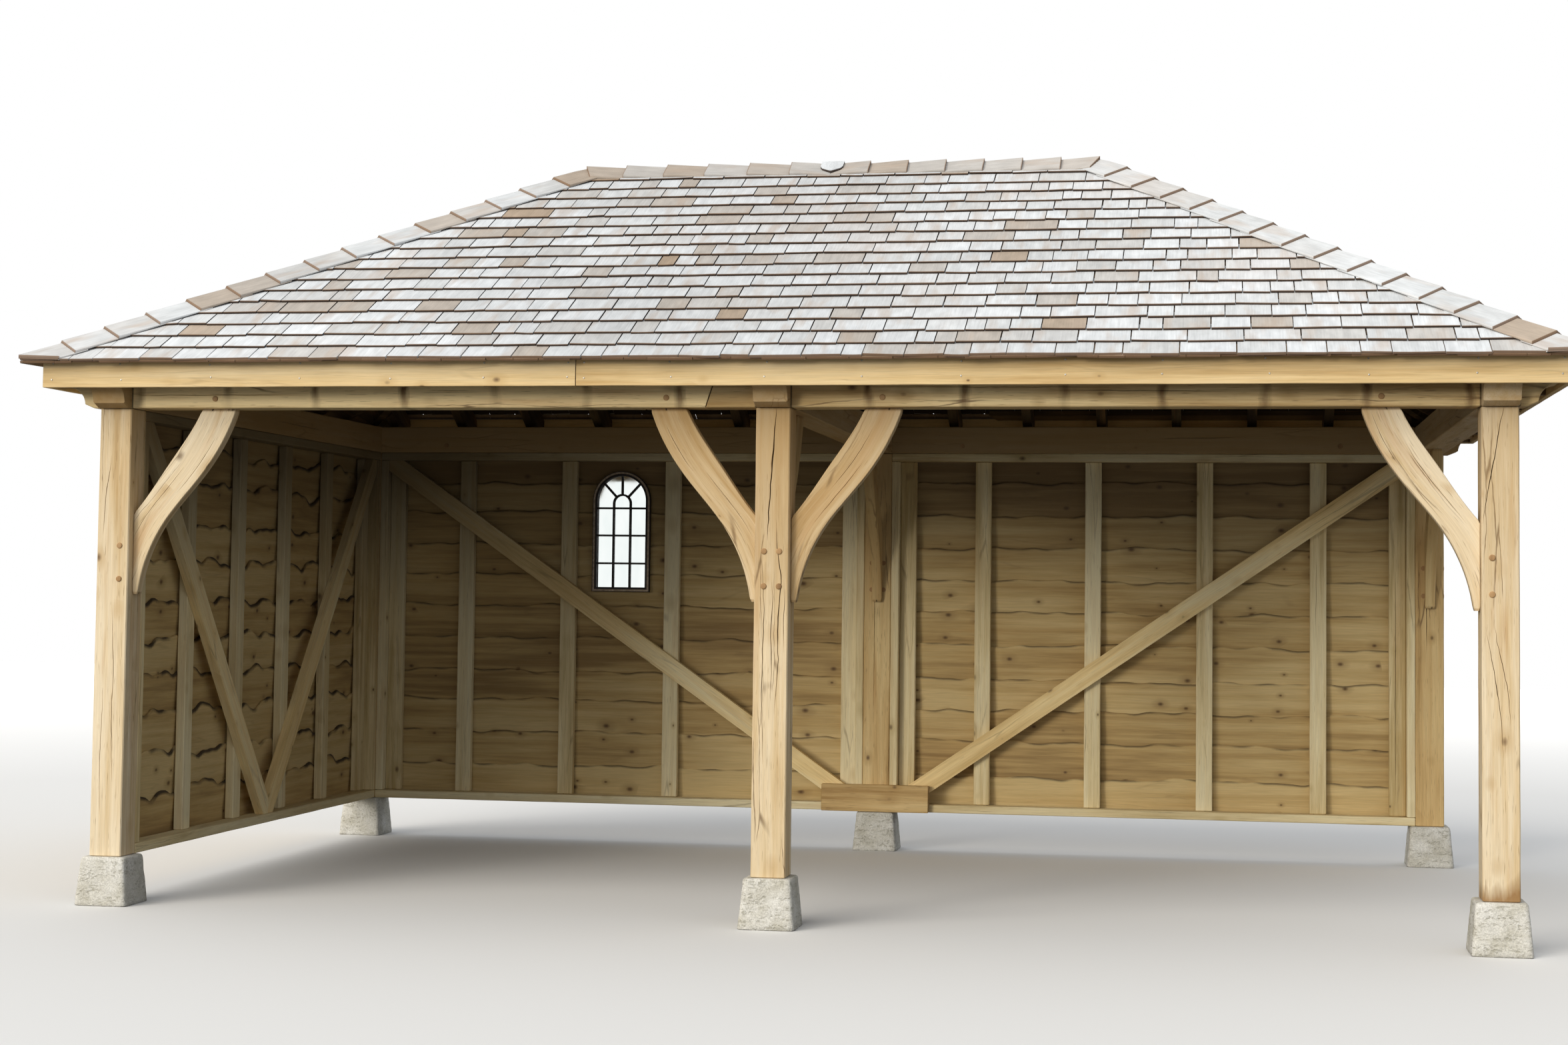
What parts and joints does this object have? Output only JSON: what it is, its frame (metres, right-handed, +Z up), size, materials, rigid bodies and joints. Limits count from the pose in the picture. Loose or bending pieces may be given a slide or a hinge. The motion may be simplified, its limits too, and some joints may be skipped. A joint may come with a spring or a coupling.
{
  "type": "oak gazebo",
  "caption": "Hipped, shingle-roofed oak gazebo with ogee braces, open at the front and one end and boarded at the back and the other end.",
  "frame": {"origin": "on the ground at the centre of the plan", "axes": "+X runs to the right along the open front, +Y runs to the back, +Z is up"},
  "size_m": [6.682, 4.002, 3.5873],
  "materials": {
    "oak_frame": "sawn oak with checks and water marks",
    "oak_panel": "sawn oak, planed less and browner indoors",
    "oak_boards": "waney edged oak boards",
    "rafter_timber": "sawn rafters",
    "batten_timber": "pale sawn battens",
    "cedar_shingles": "weathered cedar shingles, silver and tan",
    "cast_stone": "rough pale cast stone",
    "mirror_metal": "dark worn paint",
    "mirror": "silvered glass"
  },
  "bodies": {
    "root": {"padstones": "cast_stone", "post_front_left": "oak_frame", "post_front_middle": "oak_frame", "post_front_right": "oak_frame", "post_back_left": "oak_frame", "post_back_middle": "oak_frame", "post_back_right": "oak_frame", "front_plate_left": "oak_frame", "front_plate_right": "oak_frame", "back_plate": "oak_frame", "side_plate_left": "oak_frame", "side_plate_right": "oak_frame", "tie_beam": "oak_frame", "front_braces": "oak_frame", "tie_beam_braces": "oak_frame", "right_side_braces": "oak_frame", "back_left_panel_frame": "oak_panel", "back_left_panel_brace": "oak_panel", "back_left_cladding": "oak_boards", "back_right_panel_frame": "oak_panel", "back_right_panel_brace": "oak_panel", "back_right_cladding": "oak_boards", "left_panel_frame": "oak_panel", "left_panel_brace_front": "oak_panel", "left_panel_brace_back": "oak_panel", "left_cladding": "oak_boards", "foot_block": "oak_frame", "front_rafters": "rafter_timber", "back_rafters": "rafter_timber", "end_rafters": "rafter_timber", "hip_rafters": "rafter_timber", "ridge_board": "rafter_timber", "roof_battens": "batten_timber", "fascia_front_left": "oak_frame", "fascia_front_right": "oak_frame", "fascia_back": "oak_frame", "fascia_ends": "oak_frame", "front_roof_slope": "cedar_shingles", "back_roof_slope": "cedar_shingles", "left_roof_slope": "cedar_shingles", "right_roof_slope": "cedar_shingles", "hip_caps": "cedar_shingles", "ridge_cap": "cedar_shingles", "mirror_frame": "mirror_metal", "mirror_glass": "mirror"}
  },
  "joints": []
}
